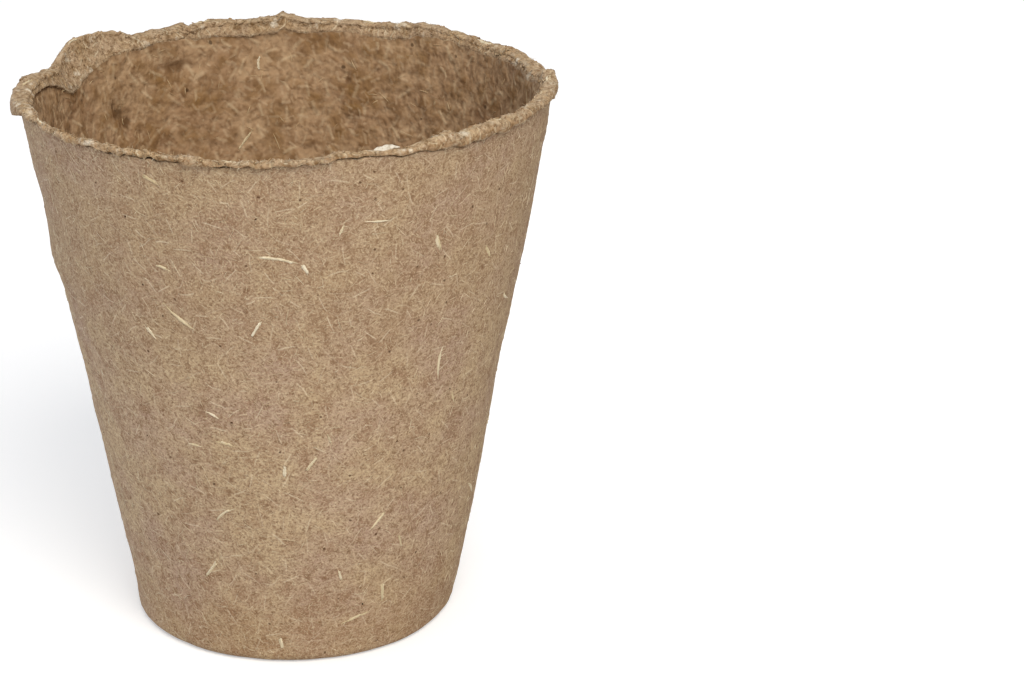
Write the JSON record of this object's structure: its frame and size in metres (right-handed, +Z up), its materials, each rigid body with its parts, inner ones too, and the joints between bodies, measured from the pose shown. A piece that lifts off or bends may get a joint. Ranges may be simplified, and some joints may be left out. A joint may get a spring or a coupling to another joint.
{
  "type": "peat pot",
  "caption": "Round tapered seedling pot of moulded peat and wood pulp, with a wavy deckle lip, a raised floor with a drain hole, and straw and bark bits bedded in its faces.",
  "frame": {"origin": "centre of the round foot, on the ground it stands on", "axes": "+Z up the pot's axis to the lip, -Y to the front where the white chip and the placed slivers are, +X to the right of the front"},
  "size_m": [0.08, 0.08, 0.0853],
  "materials": {
    "moulded_pulp": "matt felted peat and wood pulp, as moulded and dried",
    "straw": "raw dry straw",
    "bark": "raw bark crumb",
    "paper_chip": "unsized off-white paper pulp"
  },
  "bodies": {
    "root": {"pot_body": "moulded_pulp", "outer_straw_slivers": "straw", "inner_straw_slivers": "straw", "rim_straw_slivers": "straw", "base_straw_slivers": "straw", "outer_bark_flecks": "bark", "inner_bark_flecks": "bark", "rim_paper_chip": "paper_chip"}
  },
  "joints": []
}
